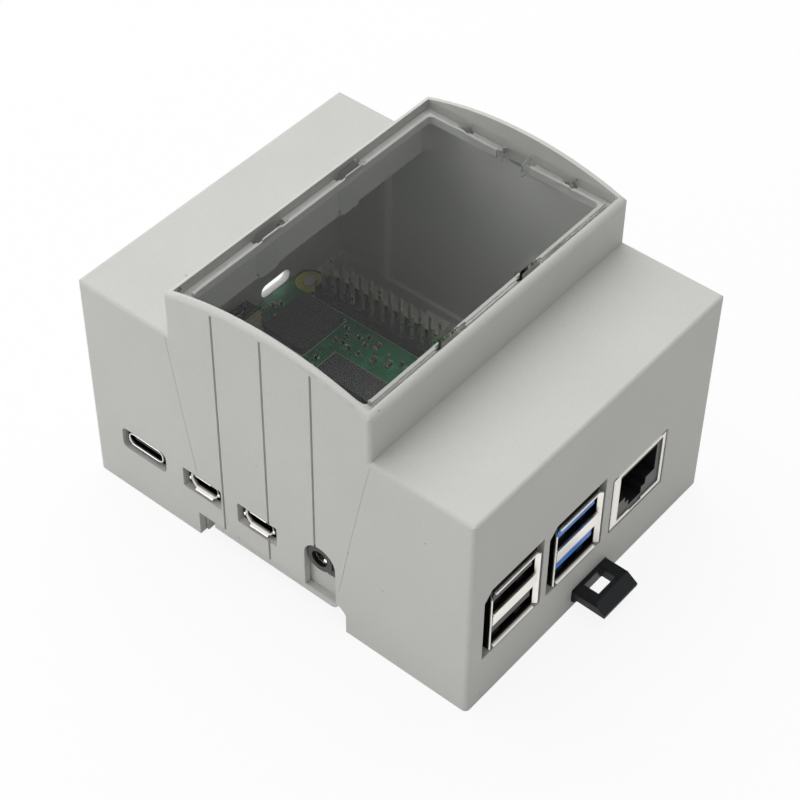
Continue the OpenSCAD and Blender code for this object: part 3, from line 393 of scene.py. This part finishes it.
# ---- Circuit board ----
# Green solder mask over copper: traces and plated holes show as lighter lines and dots.
def board_mask():
    """Solder mask: lines of two turned grids make traces, small cells make plated holes."""
    paint, shader = plain_material("board_mask", (0.006, 0.13, 0.05), 0.45)
    nodes = paint.node_tree.nodes
    place = object_place(paint)
    warp = nodes.new("ShaderNodeTexVoronoi")
    warp.feature = "F1"
    warp.distance = "CHEBYCHEV"
    warp.inputs["Scale"].default_value = 380
    paint.node_tree.links.new(place, warp.inputs["Vector"])
    traces = ramp_of(paint, warp.outputs["Distance"], [(0.28, (0, 0, 0)), (0.31, (1, 1, 1)),
                                                       (0.40, (1, 1, 1)), (0.43, (0, 0, 0))])
    regions = ramp_of(paint, noise_of(paint, place, 90, 2), [(0.45, (0, 0, 0)),
                                                            (0.5, (1, 1, 1))])
    lines = mixed(paint, 1.0, traces, regions, "MULTIPLY")
    colour = mixed(paint, lines, (0.008, 0.125, 0.045), (0.018, 0.20, 0.08))
    holes = nodes.new("ShaderNodeTexVoronoi")
    holes.inputs["Scale"].default_value = 520
    paint.node_tree.links.new(place, holes.inputs["Vector"])
    dots = ramp_of(paint, holes.outputs["Distance"], [(0.12, (1, 1, 1)), (0.16, (0, 0, 0))])
    dots = mixed(paint, 1.0, dots, ramp_of(paint, noise_of(paint, place, 150, 1),
                                           [(0.52, (0, 0, 0)), (0.56, (1, 1, 1))]), "MULTIPLY")
    colour = mixed(paint, dots, colour, (0.45, 0.42, 0.30))
    paint.node_tree.links.new(colour, shader.inputs["Base Color"])
    bumped(paint, shader, lines, 0.00003, 0.6)
    return paint


dress("circuit_board", board_mask())
board_low, board_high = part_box("circuit_board")
board_top = board_high.z


# ---- Socket shells ----
# Folded and plated steel: bright nickel with faint rolling lines and softened edges.
def nickel_plate(name, colour=(0.72, 0.70, 0.67), roughness=0.22, edge=0.00012):
    """Bright plated steel with fine streaks along X; edge is the softened radius."""
    paint, shader = plain_material(name, colour, roughness, 1.0)
    nodes = paint.node_tree.nodes
    stretch = nodes.new("ShaderNodeMapping")
    stretch.inputs["Scale"].default_value = (1, 6, 6)
    paint.node_tree.links.new(object_place(paint), stretch.inputs["Vector"])
    streaks = noise_of(paint, stretch.outputs["Vector"], 260, 2)
    shine = ramp_of(paint, streaks, [(0.3, (roughness * 0.85,) * 3),
                                     (0.7, (roughness * 1.3,) * 3)])
    paint.node_tree.links.new(shine, shader.inputs["Roughness"])
    stains = noise_of(paint, object_place(paint), 300, 3)
    tone = ramp_of(paint, stains, [(0.35, [c * 0.94 for c in colour]), (0.65, colour)])
    paint.node_tree.links.new(tone, shader.inputs["Base Color"])
    bumped(paint, shader, streaks, 0.000002, 0.1, edge=edge)
    return paint


shell_plate = nickel_plate("shell_plate")
for shell in ("usb_c_shell", "hdmi_shells", "audio_barrel", "usb2_shell", "usb3_shell",
              "lan_shell", "card_socket"):
    dress(shell, shell_plate)


def painted_recess_shade(paint, axis, mouth, reach, rest):
    """Painted shade in a finish behind a mouth: full colour there, times rest from reach inwards
    along axis.

    A negative reach goes with a mouth at the low end of the axis.
    """
    nodes, links = paint.node_tree.nodes, paint.node_tree.links
    shader = nodes["Principled BSDF"]
    parts = nodes.new("ShaderNodeSeparateXYZ")
    links.new(object_place(paint), parts.inputs[0])
    depth = nodes.new("ShaderNodeMapRange")
    depth.inputs["From Min"].default_value = mouth - reach
    depth.inputs["From Max"].default_value = mouth
    depth.inputs["To Min"].default_value = rest
    links.new(parts.outputs[axis], depth.inputs["Value"])
    colour = shader.inputs["Base Color"].links[0].from_socket
    links.new(mixed(paint, 1.0, colour, depth.outputs[0], "MULTIPLY"), shader.inputs["Base Color"])
    return paint


# ---- Socket inserts ----
# Moulded insulators that carry the contacts: black, and bright blue in the faster pair.
insert_black = black_plastic("insert_black", (0.014, 0.014, 0.015), 0.38, 0.00012)
insert_blue = black_plastic("insert_blue", (0.012, 0.20, 0.74), 0.33, 0.00012)
for insert in ("usb_c_tongue", "hdmi_tongues", "audio_jack", "usb2_tongues", "lan_insert",
               "pin_header", "poe_header", "display_latch", "camera_latch"):
    dress(insert, insert_black)
dress("usb3_tongues", insert_blue)
# Painted shade: the blue tongues go dark deep inside the openings.
blue_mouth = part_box("usb3_tongues")[1].x
painted_recess_shade(insert_blue, 0, blue_mouth - 0.0012, 0.002, 0.05)


# ---- Flat-cable sockets ----
# Beige housings of a heat-proof plastic, with a dark latch bar on top.
beige_plastic = black_plastic("beige_plastic", (0.62, 0.52, 0.33), 0.45, 0.00015)
dress("display_connector", beige_plastic)
dress("camera_connector", beige_plastic)


# ---- Chips ----
# Moulded black packages with a fine grain, and dark matte plates over processor and radio.
chip_resin = black_plastic("chip_resin", (0.022, 0.022, 0.024), 0.5, 0.0001)
coil_ferrite = black_plastic("coil_ferrite", (0.07, 0.07, 0.072), 0.55, 0.0002)
for package in ("memory_chip", "usb_controller", "lan_chip", "power_chip"):
    dress(package, chip_resin)
dress("power_coils", coil_ferrite)
dress("processor",
      black_plastic("spreader_plate", (0.05, 0.052, 0.052), 0.58, 0.0002, 0.000004))
dress("radio_shield",
      black_plastic("radio_plate", (0.052, 0.055, 0.055), 0.55, 0.0002, 0.000004))


# ---- USB stacks ----
# Two openings over each other in one folded shell. Thin lips flare out at the mouth, a channel
# closes the space between the openings and spring leaves press on the plugs.
def chamfered(low, high, cut=0.04):
    """A block from low to high with its twelve edges cut off at 45 degrees."""
    low, high = np.asarray(low, float), np.asarray(high, float)
    signs = np.array([(i, j, k) for i in (-1, 1) for j in (-1, 1) for k in (-1, 1)])
    half = (high - low) / 2 - cut * (1 - np.eye(3))
    points = ((low + high) / 2 + signs[:, None] * half[None]).reshape(-1, 3)
    corner = {tuple(sign): 3 * i for i, sign in enumerate(signs.tolist())}
    faces = []
    for k in range(3):
        a, b = [axis for axis in range(3) if axis != k]
        for s in (-1, 1):
            loop = []
            for sa, sb in ((-1, -1), (1, -1), (1, 1), (-1, 1)):
                sign = [0, 0, 0]
                sign[k], sign[a], sign[b] = s, sa, sb
                loop.append(corner[tuple(sign)] + k)
            faces.append(loop)
        for sa in (-1, 1):
            for sb in (-1, 1):
                ends = []
                for sk in (-1, 1):
                    sign = [0, 0, 0]
                    sign[k], sign[a], sign[b] = sk, sa, sb
                    ends.append(corner[tuple(sign)])
                faces.append([ends[0] + a, ends[1] + a, ends[1] + b, ends[0] + b])
    faces += [[3 * i, 3 * i + 1, 3 * i + 2] for i in range(8)]
    middle = (low + high) / 2
    facing = []
    for face in faces:
        p = points[face]
        normal = np.cross(p[1] - p[0], p[2] - p[0])
        facing.append(face if normal @ (p.mean(0) - middle) > 0 else face[::-1])
    return points, facing


def prism(outline, axis, start, end):
    """A flat outline in the two other axes, carried along axis from start to end."""
    outline = np.asarray(outline, float)
    count = len(outline)
    points = np.insert(np.vstack((outline, outline)), axis, 0, axis=1)
    points[:count, axis] = start
    points[count:, axis] = end
    ring = np.arange(count)
    nxt = (ring + 1) % count
    faces = np.stack([ring, nxt, nxt + count, ring + count], -1).tolist()
    return points, faces + [ring[::-1].tolist(), (ring + count).tolist()]


def ring_plate(outer, inner, axis, start, end):
    """A plate with one hole: two outlines of equally many points, in the two other axes."""
    count = len(outer)
    flat = np.vstack((outer, inner)).astype(float)
    points = np.insert(np.vstack((flat, flat)), axis, 0, axis=1)
    points[:2 * count, axis] = start
    points[2 * count:, axis] = end
    ring = np.arange(count)
    nxt = (ring + 1) % count
    rim, hole, far = ring, ring + count, 2 * count
    faces = [(nxt, ring, hole, nxt + count),
             (rim + far, nxt + far, nxt + count + far, hole + far),
             (rim, nxt, nxt + far, rim + far),
             (nxt + count, hole, hole + far, nxt + count + far)]
    return points, np.concatenate([np.stack(quad, -1) for quad in faces]).tolist()


def in_place(parts, origin):
    """Parts given in millimetres round an origin, brought to metres in the frame."""
    return [(np.asarray(points) * 0.001 + np.asarray(origin), faces) for points, faces in parts]


def usb_sheets():
    """The sheets of one stack, from the middle of its mouth at board level."""
    side_lip = np.array([(-0.8, 6.03), (-0.14, 6.5), (0.0, 6.66), (-0.03, 6.8), (-0.2, 6.85),
                         (-0.8, 6.35)])
    top_lip = [(-0.8, 14.75), (-0.1, 14.8), (0.0, 14.88), (-0.02, 15.02), (-0.12, 15.08),
               (-0.8, 15.05)]
    low_lip = [(-0.8, 0.95), (-0.8, 0.7), (-0.2, 0.5), (-0.06, 0.48), (0.0, 0.56), (-0.1, 0.68)]
    channel = [(-11, 6.3), (-0.5, 6.3), (-0.28, 6.4), (-0.2, 6.6), (-0.2, 8.85), (-0.28, 8.98),
               (-0.45, 9.0), (-0.48, 8.9), (-0.48, 6.6), (-11, 6.6)]
    leaf = np.array([(-7.6, 0.02), (-5.6, 0.06), (-3.4, 0.5), (-2.6, 0.52), (-1.5, 0.12),
                     (-1.5, 0.02), (-2.6, 0.4), (-3.4, 0.38), (-5.6, -0.03), (-7.6, -0.03)])
    lips = []
    parts = [chamfered((-17.8, -6.35, 14.8), (-0.75, 6.35, 15.1)),
             chamfered((-17.8, -6.35, 0), (-17.5, 6.35, 14.8)),
             chamfered((-17.5, -6.0, 0.7), (-0.75, 6.0, 0.98)),
             prism(channel, 1, -6.0, 6.0),
             chamfered((-11, -6.0, 9.35), (-0.03, 6.0, 9.65), 0.06),
             prism(top_lip, 1, -5.7, 5.7), prism(low_lip, 1, -5.7, 5.7)]
    for side in (-1, 1):
        walls = sorted((side * 6.0, side * 6.35))
        parts.append(chamfered((-17.5, walls[0], 0), (-0.75, walls[1], 14.8)))
        lips.append(prism(side_lip * (1, side), 2, 0.9, 14.3))
        for floor in (0.98, 9.65):
            parts.append(prism(leaf + (0, floor), 1, side * 3.1 - 1, side * 3.1 + 1))
            cheek = np.array([(x, side * (6.0 - z)) for x, z in leaf])
            parts.append(prism(cheek, 2, floor + 0.7, floor + 2.3))
    return parts, lips


def usb_contacts(springs):
    """Contact strips under both tongues, and round springs where the stack is the faster one."""
    parts = []
    tongue_rise = 2.2
    for under in (1.2 + tongue_rise, 9.65 + tongue_rise):
        for y in (-3.5, -1.25, 1.25, 3.5):
            parts.append(chamfered((-9.4, y - 0.5, under - 0.14), (-2.2, y + 0.5, under + 0.05)))
        for y in (-4, -2, 0, 2, 4) if springs else ():
            parts.append(chamfered((-10.3, y - 0.25, under - 0.3), (-9.2, y + 0.25, under)))
    return parts


contact_gold = nickel_plate("contact_gold", (0.78, 0.60, 0.30), 0.25)
usb_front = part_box("usb2_shell")[1].x
# Painted shade: the stack's sheets go dark just behind the mouth and its gold contacts darken
# deeper in.
stack_plate = painted_recess_shade(nickel_plate("stack_plate", (0.97, 0.94, 0.88), 0.34, None), 0,
                     usb_front - 0.00015, 0.0005, 0.03)
lip_plate = nickel_plate("lip_plate", (0.92, 0.90, 0.85), 0.34, None)
stack_gold = painted_recess_shade(nickel_plate("stack_gold", (0.6, 0.45, 0.22), 0.3), 0, usb_front, 0.006, 0.1)
for stack, fast in (("usb2", False), ("usb3", True)):
    stack_low, stack_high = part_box(stack + "_shell")
    mouth = (stack_high.x, (stack_low.y + stack_high.y) / 2, stack_low.z)
    sheets, lips = usb_sheets()
    shell = merged_mesh(stack + "_sheets", in_place(sheets, mouth), stack_plate,
                        "housing")
    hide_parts(stack + "_shell")
    merged_mesh(stack + "_side_lips", in_place(lips, mouth), lip_plate, "housing")
    merged_mesh(stack + "_contacts", in_place(usb_contacts(fast), mouth), stack_gold,
                "housing")


# ---- Network socket ----
# A plated front with the plug's stepped cut-out, a sprung top lip and eight gold wires inside.
lan_low, lan_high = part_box("lan_shell")
lan_mouth = (lan_high.x, (lan_low.y + lan_high.y) / 2, lan_low.z)
lan_cut = [(-5.8, 0.8), (-1.9, 0.8), (-1.9, 0.38), (1.9, 0.38), (1.9, 0.8), (7.2, 0.8),
           (7.2, 12.7), (-5.8, 12.7)]
lan_edge = [(-7.75, 0.2), (-2.4, 0.2), (-1.9, 0.2), (1.9, 0.2), (2.4, 0.2), (7.75, 0.2),
            (7.75, 13.2), (-7.75, 13.2)]
lan_face = [ring_plate(lan_edge, lan_cut, 0, -0.28, -0.02)]
lan_lip = [(-0.9, 13.38), (-0.9, 13.44), (-0.3, 13.8), (-0.1, 13.8), (-0.02, 13.65),
           (-0.25, 13.4)]
lan_face += [prism(lan_lip, 1, -6.6, 6.6), chamfered((-0.3, -5.95, 0.9), (0.02, -5.8, 12.6), 0.05)]
# Painted shade: the plated front goes dark behind its mouth, inside the socket.
lan_plate = painted_recess_shade(nickel_plate("lan_plate", (0.80, 0.78, 0.73), 0.3), 0, lan_high.x - 0.0003,
                   0.0008, 0.05)
merged_mesh("lan_front", in_place(lan_face, lan_mouth), lan_plate, "housing")
lan_wires = []
for i in range(8):
    y = (i - 3.5) * 1.02
    wire = np.array([(-13.6, y, 10.9), (-4.5, y, 11.3), (-2.6, y, 11.2), (-2.2, y, 10.8),
                     (-8.6, y, 7.4), (-9.0, y, 7.2)])
    lan_wires.append(ring_path(wire, 0.16, 5))
merged_mesh("lan_wires", in_place(lan_wires, lan_mouth), contact_gold, "housing")


# ---- Near sockets ----
# A rolled ring round the power socket, two small video sockets with flared mouths and a bright
# contact in the audio socket.
def rounded_loop(corners, radius, steps=3):
    """A closed outline whose corners are drawn as short curves of about the given radius."""
    corners = np.asarray(corners, float)
    before = corners - np.roll(corners, 1, 0)
    after = np.roll(corners, -1, 0) - corners
    before_len = np.linalg.norm(before, axis=1)[:, None]
    after_len = np.linalg.norm(after, axis=1)[:, None]
    cut = np.minimum(radius, 0.499 * np.minimum(before_len, after_len))
    first = corners - before / before_len * cut
    last = corners + after / after_len * cut
    t = np.linspace(0, 1, steps + 1)[None, :, None]
    curve = ((1 - t) ** 2 * first[:, None] + 2 * t * (1 - t) * corners[:, None]
             + t ** 2 * last[:, None])
    return curve.reshape(-1, 2)


def mouth_tube(outline, stations):
    """A tube along Y: outline(grow) at stations (depth, grow), from the back out and in again."""
    loops = []
    for depth, grow in stations:
        flat = outline(grow)
        loops.append(np.column_stack((flat[:, 0], np.full(len(flat), depth), flat[:, 1])))
    count = len(loops[0])
    rows = np.arange(len(loops))[:, None]
    cols = np.arange(count)[None]
    nxt = (rows + 1) % len(loops)
    side = (cols + 1) % count
    faces = np.stack([rows * count + cols, rows * count + side, nxt * count + side,
                      nxt * count + cols], -1).reshape(-1, 4).tolist()
    return np.vstack(loops), faces


def power_outline(grow):
    """The power socket's rounded slot, grown by grow."""
    w, h = 4.47 + grow, 1.6 + grow
    return rounded_loop([(-w, 1.6 - h), (w, 1.6 - h), (w, 1.6 + h), (-w, 1.6 + h)], 1.59 + grow, 8)


def video_outline(grow):
    """The small video socket's outline with its two cut lower corners, grown by grow."""
    w = 3.25 + grow
    return rounded_loop([(-w, 2.9 + grow), (-w, 1.3), (0.9 - w, -grow), (w - 0.9, -grow),
                         (w, 1.3), (w, 2.9 + grow)], 0.45 + grow, 3)


power_low, power_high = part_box("usb_c_shell")
power_mouth = ((power_low.x + power_high.x) / 2, power_low.y, power_low.z)
power_ring = mouth_tube(power_outline, [(7.9, 0), (0.16, 0), (0.05, -0.05), (0, -0.15),
                                        (0.05, -0.26), (0.18, -0.32), (7.9, -0.32)])
# Painted shade: the ring goes dark behind its mouth, inside the power socket.
power_plate = painted_recess_shade(nickel_plate("power_plate", (0.85, 0.84, 0.81), 0.3, None), 1,
                     power_low.y + 0.0001, -0.0004, 0.02)
power_shell = merged_mesh("power_socket_ring", in_place([power_ring], power_mouth), power_plate,
                          "housing", smooth=True)
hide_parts("usb_c_shell")
power_pads = []
for i in range(12):
    x = (i - 5.5) * 0.5
    for z in (1.22, 1.93):
        power_pads.append(chamfered((x - 0.13, 1.6, z), (x + 0.13, 5.0, z + 0.05), 0.01))
merged_mesh("power_socket_contacts", in_place(power_pads, power_mouth), contact_gold,
            "housing")

shells_low, shells_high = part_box("hdmi_shells")
video_half = (shells_high.x - shells_low.x) / 2 - 0.0037
video_centre = (shells_low.x + shells_high.x) / 2
video_parts, video_pads = [], []
for side in (-1, 1):
    mouth = (video_centre + side * video_half, shells_low.y, shells_low.z)
    skin = mouth_tube(video_outline, [(7.7, 0), (0.5, 0), (0.1, 0.06), (-0.1, 0.16),
                                      (-0.16, 0.12), (-0.1, 0.0), (0.1, -0.14), (0.5, -0.2),
                                      (7.7, -0.22)])
    lower_lip = [(0.35, 0.02), (-0.2, -0.3), (-0.48, -0.5), (-0.55, -0.42), (-0.3, -0.2),
                 (0.3, 0.2)]
    upper_lip = [(0.35, 2.9), (-0.2, 3.2), (-0.4, 3.42), (-0.48, 3.34), (-0.3, 3.1), (0.3, 2.7)]
    group = [skin, prism(lower_lip, 0, -2.15, 2.15), prism(upper_lip, 0, -1.9, 1.9)]
    for ear in (-1, 1):
        group.append(chamfered((ear * 3.45 - 0.25, 3.2, 0.0), (ear * 3.45 + 0.25, 5.2, 1.6)))
        group.append(chamfered((ear * 3.5 - 0.3, -0.3, 1.2), (ear * 3.5 + 0.3, 0.15, 1.9), 0.15))
    video_parts += in_place(group, mouth)
    pads = [chamfered((x - 0.1, 1.2, 1.28), (x + 0.1, 5.2, 1.37), 0.01)
            for x in np.linspace(-1.8, 1.8, 9)]
    video_pads += in_place(pads, mouth)
# Painted shade: the shells go dark behind their mouths, inside the video sockets.
video_plate = painted_recess_shade(nickel_plate("video_plate", (0.74, 0.72, 0.68), 0.34, None), 1,
                     shells_low.y + 0.0001, -0.0006, 0.03)
video_shells = merged_mesh("video_socket_shells", video_parts, video_plate, "housing")
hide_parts("hdmi_shells")
merged_mesh("video_socket_contacts", video_pads, stack_gold, "housing")

barrel_low, barrel_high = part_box("audio_barrel")
audio_axis = ((barrel_low.x + barrel_high.x) / 2, barrel_low.y, (barrel_low.z + barrel_high.z) / 2)
audio_spring = [prism(rounded_loop([(0.1, -1.85), (1.5, -1.85), (1.2, -1.25), (0.4, -1.25)], 0.3),
                      0, -0.1, 0.6)]
merged_mesh("audio_spring", in_place(audio_spring, audio_axis), shell_plate, "housing")


# ---- Board furniture ----
# Small parts on the board: resistors and capacitors scattered where nothing else stands, rings
# round the fixing holes and thin pale outlines round the larger parts.
def keep_outs(margin):
    """Boxes on the board that larger parts take up, with a margin."""
    boxes = []
    for node in ("usb_c_shell", "hdmi_shells", "audio_jack", "usb2_shell", "usb3_shell",
                 "lan_shell", "pin_header", "poe_header", "processor", "memory_chip",
                 "radio_shield", "usb_controller", "lan_chip", "power_chip", "power_coils",
                 "display_connector", "camera_connector"):
        low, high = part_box(node)
        boxes.append((low.x - margin, low.y - margin, high.x + margin, high.y + margin))
    hole = 0.0033
    for x in (board_low.x + 0.0035, board_low.x + 0.0615):
        for y in (board_low.y + 0.0035, board_high.y - 0.0035):
            boxes.append((x - hole, y - hole, x + hole, y + hole))
    return np.array(boxes)


draws = np.random.default_rng(41)
taken = keep_outs(0.0009)
chips_small, chip_ends, chip_tan = [], [], []
for _ in range(900):
    x = draws.uniform(board_low.x + 0.0015, board_high.x - 0.0025)
    y = draws.uniform(board_low.y + 0.0015, board_high.y - 0.0015)
    turned = draws.random() < 0.5
    large = draws.random() < 0.25
    length, width, height = (0.8, 0.45, 0.42) if large else (0.5, 0.27, 0.28)
    dx, dy = (width, length) if turned else (length, width)
    reach = np.array((dx, dy)) * 0.001
    box = (x - reach[0] - 0.0002, y - reach[1] - 0.0002, x + reach[0] + 0.0002,
           y + reach[1] + 0.0002)
    if np.any((taken[:, 0] < box[2]) & (taken[:, 2] > box[0])
              & (taken[:, 1] < box[3]) & (taken[:, 3] > box[1])):
        continue
    taken = np.vstack((taken, box))
    at = (x, y, board_top)
    cap = 0.18 if large else 0.12
    core = chamfered((-dx, -dy, 0.02), (dx, dy, 2 * height), 0.03)
    (chip_tan if large or draws.random() < 0.3 else chips_small).extend(in_place([core], at))
    for end in (-1, 1):
        low = np.array((-dx, -dy, 0.0)) - 0.03
        high = np.array((dx, dy, 2 * height)) + 0.03
        axis = 1 if turned else 0
        if end < 0:
            high[axis] = low[axis] + cap + 0.03
        else:
            low[axis] = high[axis] - cap - 0.03
        low[2] = 0.0
        chip_ends += in_place([chamfered(low, high, 0.03)], at)
solder = nickel_plate("solder", (0.66, 0.66, 0.65), 0.3)
ceramic_tan = black_plastic("ceramic_tan", (0.11, 0.08, 0.055), 0.4, 0.00005)
merged_mesh("resistors", chips_small, chip_resin, "housing")
merged_mesh("capacitors", chip_tan, ceramic_tan, "housing")
merged_mesh("solder_ends", chip_ends, solder, "housing")

turn = np.linspace(0, 2 * np.pi, 40, endpoint=False)
circle = np.column_stack((np.cos(turn), np.sin(turn)))
rings = []
for x in (3.5, 61.5):
    for y in (3.5, 52.5):
        middle = np.array((board_low.x * 1000 + x, board_low.y * 1000 + y))
        rings.append(ring_plate(circle * 3.0 + middle, circle * 1.37 + middle, 2,
                                board_top * 1000 + 0.0, board_top * 1000 + 0.03))
hole_gold = black_plastic("hole_gold", (0.52, 0.50, 0.07), 0.4, 0.0001)
merged_mesh("hole_rings", in_place(rings, (0, 0, 0)), hole_gold, "housing")


def printed_frame(low, high, gap, line=0.00018):
    """Four thin printed bars round a part, gap away from it."""
    x0, y0, x1, y1 = low.x - gap, low.y - gap, high.x + gap, high.y + gap
    top = board_top + 0.00002
    bars = [((x0, y0), (x1, y0 + line)), ((x0, y1 - line), (x1, y1)),
            ((x0, y0 + line), (x0 + line, y1 - line)), ((x1 - line, y0 + line), (x1, y1 - line))]
    return [prism([(a[0], a[1]), (b[0], a[1]), (b[0], b[1]), (a[0], b[1])], 2, board_top, top)
            for a, b in bars]


ink = plain_material("board_ink", (0.30, 0.33, 0.30), 0.6)[0]
frames = []
for part, gap in (("processor", 0.0007), ("memory_chip", 0.0005), ("radio_shield", 0.0004),
                  ("usb_controller", 0.0006), ("lan_chip", 0.0006), ("power_chip", 0.0005),
                  ("pin_header", 0.0003), ("poe_header", 0.0003), ("display_connector", 0.0003),
                  ("camera_connector", 0.0003)):
    frames += printed_frame(*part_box(part), gap)
merged_mesh("board_outlines", frames, ink, "housing")


# ---- Header pins ----
# Square plated pins with drawn-in tips, pressed through the header.
def pin_field(low, high, columns, rows):
    """Pins on an even grid: four rings of a square, drawn in at both tips."""
    half = 0.00032
    xs = np.linspace(low.x + half, high.x - half, columns)
    ys = np.linspace(low.y + half, high.y - half, rows)
    ring = np.array([(-1, -1), (1, -1), (1, 1), (-1, 1)]) * half
    levels = [(low.z - 0.0029, 0.45), (low.z - 0.0024, 1), (high.z - 0.0005, 1), (high.z, 0.4)]
    column = np.array([(x * s, y * s, z) for z, s in levels for x, y in ring])
    sides = [[r * 4 + i, r * 4 + (i + 1) % 4, r * 4 + 4 + (i + 1) % 4, r * 4 + 4 + i]
             for r in range(3) for i in range(4)]
    sides += [[3, 2, 1, 0], [12, 13, 14, 15]]
    return [(column + np.array((x, y, 0)), sides) for x in xs for y in ys]


pin_gold = nickel_plate("pin_gold", (0.74, 0.66, 0.50), 0.3)
header_low, header_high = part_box("header_pins")
header_pins = merged_mesh("header_pin_row", pin_field(header_low, header_high, 20, 2),
                          pin_gold, "housing")
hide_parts("header_pins")
poe_low, poe_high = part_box("poe_pins")
poe_pins = merged_mesh("poe_pin_square", pin_field(poe_low, poe_high, 2, 2),
                       pin_gold, "housing")
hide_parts("poe_pins")
